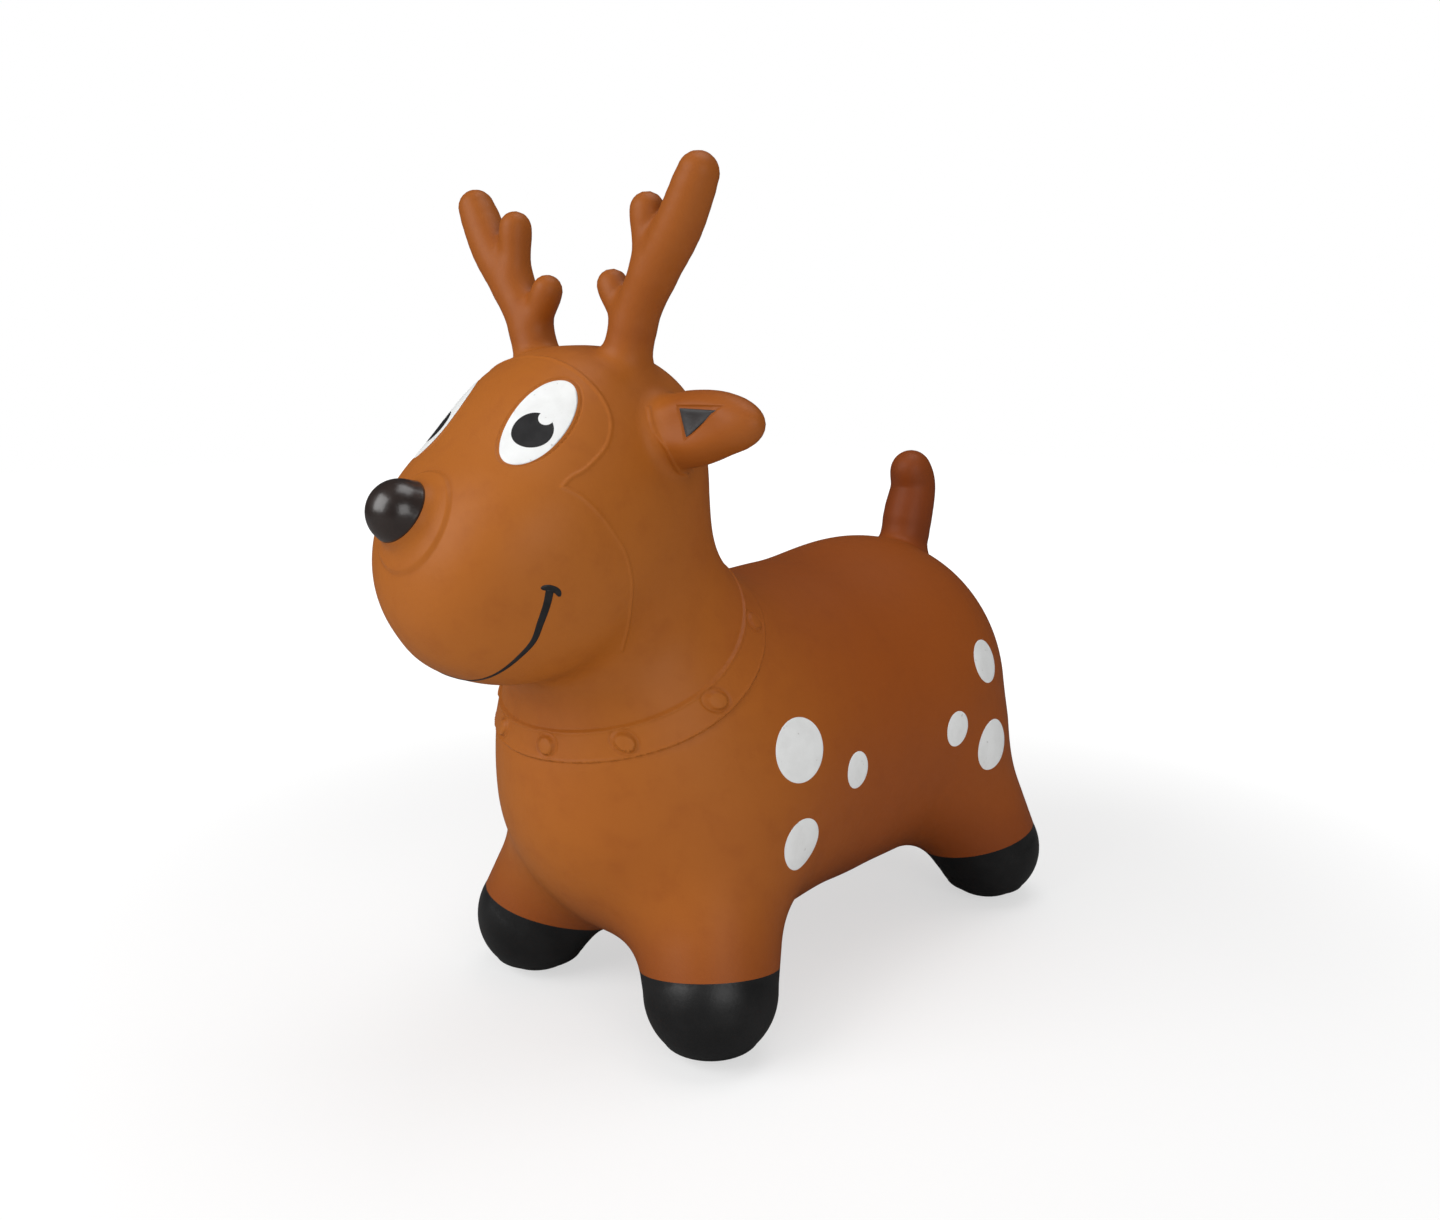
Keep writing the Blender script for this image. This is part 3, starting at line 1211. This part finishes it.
# %% Vinyl
FRONT_BROWN, REAR_BROWN = colour(0.370, 0.108, 0.0110), colour(0.290, 0.064, 0.0050)
LIMB_BROWN, CLOUD_BROWN = colour(0.195, 0.038, 0.0040), colour(0.300, 0.072, 0.0070)
MOTTLE_BROWN, DUSTY_BROWN = colour(0.235, 0.050, 0.0045), colour(0.155, 0.028, 0.0028)
RUBBED_BROWN = colour(0.430, 0.150, 0.0240)
SKIN_GRAIN = 0.00022

vinyl = Finish("vinyl", IOR=1.45, Specular_IOR_Level=0.26)
clouds = vinyl.noise(7.0, detail=4.0)
mottle = vinyl.noise(55.0, detail=5.0, roughness=0.6)
pores = vinyl.noise(900.0, detail=2.0)
peel = vinyl.noise(260.0, detail=2.0)
dents = vinyl.noise(24.0, detail=2.0)
across, along, height = vinyl.along("X"), vinyl.along("Y"), vinyl.along("Z")
aft = (along + 0.10 * clouds).within(-0.15, 0.11)
legs = 1 - height.within(0.050, 0.125)
tail = along.within(0.190, 0.225) * height.within(0.285, 0.310)
ear_height = height.within(0.380, 0.395) * (1 - height.within(0.450, 0.470))
ears = (across * across).within(0.0060, 0.0090) * ear_height
antlers = height.within(0.462, 0.478)
limbs = 0.35 * antlers + 0.75 * legs + 0.40 * ears + tail
rubbed = vinyl.hollow().within(0.30, 0.70)
deep = (vinyl.hollow() * -1.0).within(0.02, 0.40)
base = vinyl.mix(aft, FRONT_BROWN, REAR_BROWN)
for share, brown in (
    (limbs, LIMB_BROWN),
    (clouds.within(0.40, 0.80) * 0.30, CLOUD_BROWN),
    (mottle.within(0.45, 0.80) * 0.22, MOTTLE_BROWN),
    (deep * 0.60, DUSTY_BROWN),
    (rubbed * 0.16, RUBBED_BROWN),
):
    base = vinyl.mix(share, base, brown)
vinyl.feed("Base Color", base)
vinyl.feed("Roughness", 0.42 + 0.10 * mottle + 0.08 * clouds + 0.10 * deep)
vinyl.bump(0.55 * peel + 0.25 * pores + 1.6 * dents, SKIN_GRAIN)
print("the vinyl has", len(vinyl.tree.nodes), "nodes")

# %% [markdown]
# Paint sits on the vinyl and takes a little of its grain. Hoof paint is black and rubs grey near the sole,
# the marks are white or black, and the nose has a glossier coat. The valve is a pale hard plastic. Where two
# finishes differ only in numbers, one function makes both.

# %% Paints
BLACK, SOFT_BLACK = colour(0.0055, 0.0055, 0.0057), colour(0.0105, 0.0105, 0.0107)
SCUFFED = colour(0.055, 0.052, 0.050)
WHITE, DULL_WHITE = colour(0.792, 0.802, 0.797), colour(0.728, 0.735, 0.728)
FLECK = colour(0.360, 0.340, 0.320)
MARK_BLACKS = (colour(0.0085, 0.0082, 0.0090), colour(0.0165, 0.0158, 0.0170))
NOSE_BLACKS = (colour(0.0140, 0.0085, 0.0070), colour(0.0260, 0.0160, 0.0130))
IVORIES = (colour(0.560, 0.530, 0.450), colour(0.640, 0.615, 0.540))
PAINT_GRAIN, HOOF_GRAIN, PLASTIC_GRAIN = 0.00008, 0.00018, 0.00010

hoof_paint = Finish("hoof_paint", IOR=1.48)
smear = hoof_paint.noise(38.0, detail=5.0, roughness=0.65)
specks = hoof_paint.noise(420.0, detail=2.0)
low = 1 - hoof_paint.along("Z").within(0.001, 0.016)
scuff = (low * smear.within(0.42, 0.68)) * 0.8
black = hoof_paint.mix(smear.within(0.35, 0.8), BLACK, SOFT_BLACK)
hoof_paint.feed("Base Color", hoof_paint.mix(scuff, black, SCUFFED))
hoof_paint.feed("Roughness", 0.36 + 0.16 * smear + 0.18 * scuff)
hoof_paint.bump(0.5 * specks + 0.8 * smear, HOOF_GRAIN)

white_paint = Finish("white_paint", IOR=1.48)
veil = white_paint.noise(60.0, detail=4.0)
grains = white_paint.noise(700.0, detail=2.0)
flecks = white_paint.noise(240.0, detail=1.0).within(0.735, 0.76)
chalk = white_paint.mix(veil.within(0.35, 0.75), WHITE, DULL_WHITE)
white_paint.feed("Base Color", white_paint.mix(flecks * 0.45, chalk, FLECK))
white_paint.feed("Roughness", 0.40 + 0.12 * veil)
white_paint.bump(grains, PAINT_GRAIN)


def plain_paint(name, scale, blacks, gloss, spread, grain, **constants):
    """A paint whose colour and roughness follow one soft noise, with the fine grain of another."""
    paint = Finish(name, **constants)
    brush = paint.noise(scale, detail=4.0)
    paint.feed("Base Color", paint.mix(brush.within(0.3, 0.75), *blacks))
    paint.feed("Roughness", gloss + spread * brush)
    paint.bump(paint.noise(grain, detail=2.0), PAINT_GRAIN)
    return paint


dark_paint = plain_paint("dark_paint", 90.0, MARK_BLACKS, 0.34, 0.16, 600.0, IOR=1.48)
nose_coat = {"Coat_Weight": 0.5, "Coat_Roughness": 0.18}
nose_paint = plain_paint("nose_paint", 45.0, NOSE_BLACKS, 0.26, 0.14, 500.0, IOR=1.5, **nose_coat)

valve_plastic = Finish("valve_plastic", IOR=1.5)
haze = valve_plastic.noise(150.0, detail=3.0)
valve_plastic.feed("Base Color", valve_plastic.mix(haze.within(0.3, 0.7), *IVORIES))
valve_plastic.feed("Roughness", 0.38 + 0.12 * haze)
valve_plastic.bump(haze, PLASTIC_GRAIN)
for finish in (hoof_paint, white_paint, dark_paint, nose_paint, valve_plastic):
    print(f"{finish.material.name:20s}", len(finish.tree.nodes), "nodes")

# %% [markdown]
# A piece carries one finish, which keeps it easy to swap: the hooves are painted all round, the rest of the
# skin is bare vinyl, and each film has the paint that its name calls for.

# %% Give every piece its finish
def coat(piece, finish):
    """The finish becomes the only one on the piece."""
    piece.data.materials.clear()
    piece.data.materials.append(finish.material)


for name, piece in skin.items():
    coat(piece, hoof_paint if name.startswith("hoof") else vinyl)
for name, piece in films.items():
    pale = name.startswith(("eye_white", "spot", "glint"))
    coat(piece, nose_paint if name == "nose" else white_paint if pale else dark_paint)
for piece in (valve_seat, valve_plug):
    coat(piece, valve_plastic)
print(len(skin) + len(films) + 2, "pieces have a finish")

# %% [markdown]
# The photograph shows the toy from its front left, a little above its back. The camera stands there with a
# 30 mm lens. Its place and its two angles were worked out from where the hooves stand in the picture.

# %% Camera
LENS, SENSOR = 30.0, 36.0
CAMERA_PLACE = (0.6061, -0.6720, 0.4480)
DEGREES_DOWN, DEGREES_ROUND = 10.75, 42.7
optics = bpy.data.cameras.new("camera")
optics.lens, optics.sensor_width = LENS, SENSOR
camera = bpy.data.objects.new("camera", optics)
bpy.context.collection.objects.link(camera)
camera.location = CAMERA_PLACE
camera.rotation_euler = (math.radians(90 - DEGREES_DOWN), 0, math.radians(DEGREES_ROUND))
bpy.context.scene.camera = camera
print("the camera stands", round(math.hypot(*CAMERA_PLACE), 3), "m from the middle of the floor")

# %% [markdown]
# The background is plain white. A white world would light the toy from all sides and flatten it, so floor and
# world have three faces: one for plain light, one that the camera sees, and a dark one for mirror images. The
# floor takes the toy's shadow close by and turns into even white further out.

# %% Floor and world
def seen_as(tree, lit, shown, mirrored):
    """One shader for plain light, one for what the camera sees, and one for mirror images."""
    path = tree.nodes.new("ShaderNodeLightPath")
    inner, outer = tree.nodes.new("ShaderNodeMixShader"), tree.nodes.new("ShaderNodeMixShader")
    tree.links.new(path.outputs["Is Glossy Ray"], inner.inputs[0])
    tree.links.new(lit, inner.inputs[1])
    tree.links.new(mirrored, inner.inputs[2])
    tree.links.new(path.outputs["Is Camera Ray"], outer.inputs[0])
    tree.links.new(inner.outputs[0], outer.inputs[1])
    tree.links.new(shown, outer.inputs[2])
    return outer.outputs[0]


FLOOR_HALF, FLOOR_HEIGHT = 6, -0.0005
GREY_PAPER, MIRRORED_GREY = colour(0.82, 0.82, 0.82), colour(0.20, 0.20, 0.20)
PURE_WHITE, GLOW = colour(1, 1, 1), 1.16
SHADOW_END = (0.40, 1.10)
corners = [(FLOOR_HALF * x, FLOOR_HALF * y, 0) for x, y in ((-1, -1), (1, -1), (1, 1), (-1, 1))]
floor_mesh = bpy.data.meshes.new("floor")
floor_mesh.from_pydata(corners, [], [(0, 1, 2, 3)])
floor = bpy.data.objects.new("floor", floor_mesh)
floor.location.z = FLOOR_HEIGHT
bpy.context.collection.objects.link(floor)

paper = Finish("paper", Roughness=0.9, Specular_IOR_Level=0.1, Base_Color=GREY_PAPER)
spot = paper.node("ShaderNodeTexCoord", output="Object")
away = paper.node("ShaderNodeVectorMath", {"operation": "LENGTH"}, {0: spot}, output="Value")
white = paper.node("ShaderNodeEmission", None, {"Color": PURE_WHITE, "Strength": GLOW})
grey = paper.node("ShaderNodeBsdfDiffuse", None, {"Color": MIRRORED_GREY})
plain = Flow(paper, paper.shader.outputs[0])
shadow_share = 0.50 * (1 - away.within(*SHADOW_END))
shown = paper.node("ShaderNodeMixShader", None, {0: shadow_share, 1: white, 2: plain})
surface = seen_as(paper.tree, plain.socket, shown.socket, grey.socket)
paper.tree.links.new(surface, paper.tree.nodes["Material Output"].inputs[0])
floor_mesh.materials.append(paper.material)

world = bpy.data.worlds.new("studio")
world.use_nodes = True
bpy.context.scene.world = world
sky = world.node_tree


def backdrop(strength):
    """A plain white background of a given strength."""
    made = sky.nodes.new("ShaderNodeBackground")
    made.inputs["Color"].default_value = PURE_WHITE
    made.inputs["Strength"].default_value = strength
    return made.outputs[0]


SOFT_LIGHT, SEEN, MIRRORED = 0.36, 1.0, 0.04
surface = seen_as(sky, backdrop(SOFT_LIGHT), backdrop(SEEN), backdrop(MIRRORED))
sky.links.new(surface, sky.nodes["World Output"].inputs[0])
print("floor and world are ready, the world's light", SOFT_LIGHT)

# %% [markdown]
# A large soft light to the left of the camera shapes the chest and face, a weaker one from the right fills
# the flank, and a third from above lifts the back. Three square lamps do what a hall of soft boxes would.

# %% Lights
def soft_light(name, place, aim, size, power):
    """A square area light that faces a point."""
    lamp = bpy.data.lights.new(name, "AREA")
    lamp.size, lamp.energy = size, power
    light = bpy.data.objects.new(name, lamp)
    light.location = place
    light.rotation_euler = (Vector(aim) - Vector(place)).to_track_quat("-Z", "Y").to_euler()
    bpy.context.collection.objects.link(light)


# Name, place, what it faces, size in metres and power in watts.
for name, place, aim, size, power in (
    ("key", (-0.7, -2.2, 1.5), (0, 0, 0.25), 1.8, 43),
    ("fill", (1.9, -0.9, 0.9), (0, 0, 0.25), 1.2, 13),
    ("top", (0.2, 0.2, 2.2), (0, 0, 0.2), 1.2, 13),
):
    soft_light(name, place, aim, size, power)
    print(f"{name:5s}", power, "W")
bpy.context.scene.view_settings.view_transform = "Standard"
